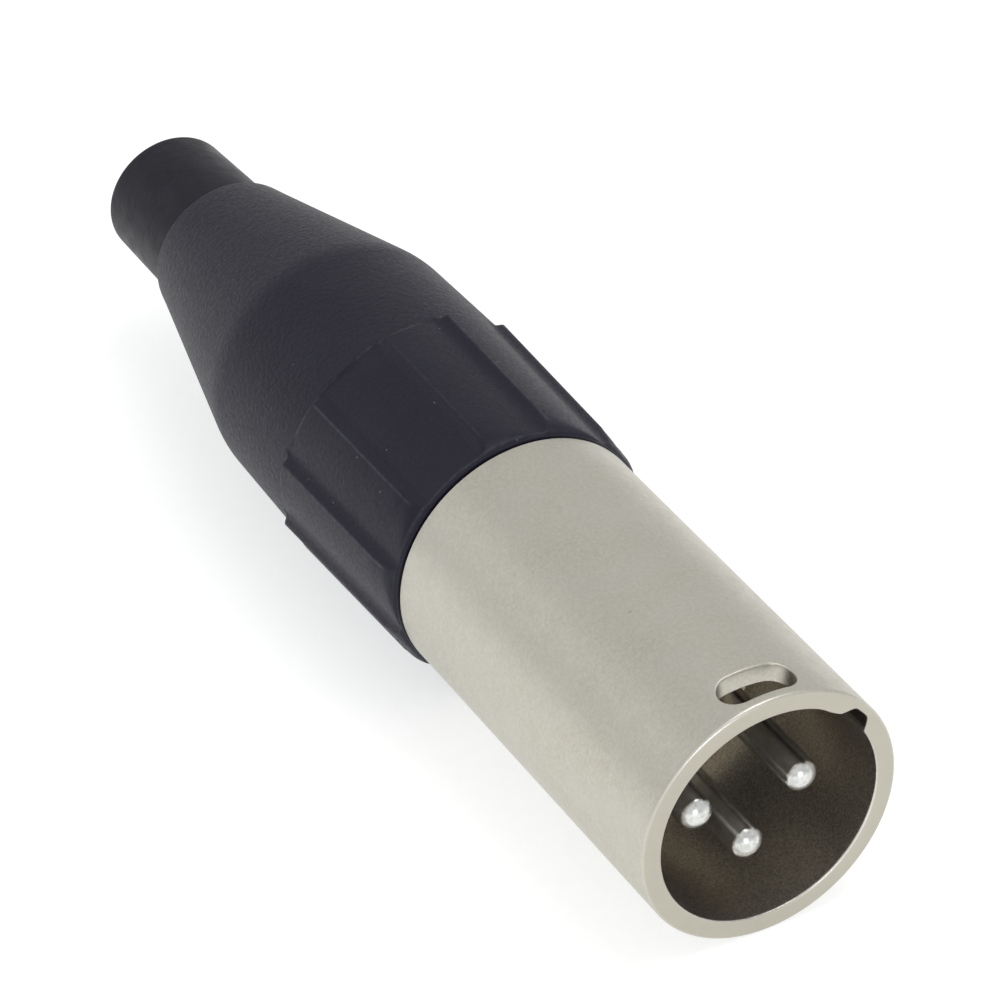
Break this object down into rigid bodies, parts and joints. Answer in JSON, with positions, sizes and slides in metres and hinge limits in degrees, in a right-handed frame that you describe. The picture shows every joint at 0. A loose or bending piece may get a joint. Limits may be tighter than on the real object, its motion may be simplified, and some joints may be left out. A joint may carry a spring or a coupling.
{
  "type": "circular audio plug",
  "caption": "Cable plug for audio lines: nickel-plated round shell with a latch window, silver contacts inside, a black fluted back nut and a short soft boot.",
  "frame": {"origin": "centre of the plane of the shell's open rim, on the plug's axis", "axes": "+Y along the axis from the rim to the boot, +Z towards the latch window, +X to the right seen from the open end"},
  "size_m": [0.0208, 0.0859, 0.0206],
  "materials": {
    "nickel_shell": "satin nickel plate on a zinc die casting",
    "insert_plastic": "black moulding, fine grain",
    "silver_contact": "silver plate, turned",
    "spring_bronze": "tinned bronze strip",
    "clamp_plastic": "black moulding, matt",
    "nut_plastic": "black moulding, spark-eroded grain",
    "boot_rubber": "black soft moulding, slight sheen"
  },
  "bodies": {
    "plug": {"shell": "nickel_shell", "contact_insert": "insert_plastic", "pin_1": "silver_contact", "pin_2": "silver_contact", "pin_3": "silver_contact", "ground_spring": "spring_bronze"},
    "clamp": {"cable_clamp": "clamp_plastic"},
    "nut": {"back_nut": "nut_plastic", "boot": "boot_rubber"}
  },
  "joints": [
    {"name": "clamp_slide", "type": "slide", "parent": "plug", "child": "clamp", "axis": [0, 1, 0], "range_m": [0, 0.00626]},
    {"name": "nut_turn", "type": "hinge", "parent": "clamp", "child": "nut", "pos_m": [0, 0.04, 0], "axis": [0, 1, 0], "range_deg": [0, 1800]}
  ],
  "couplings": [
    {"joint": "clamp_slide", "follows": "nut_turn", "m_per_rad": 0.00019894}
  ]
}
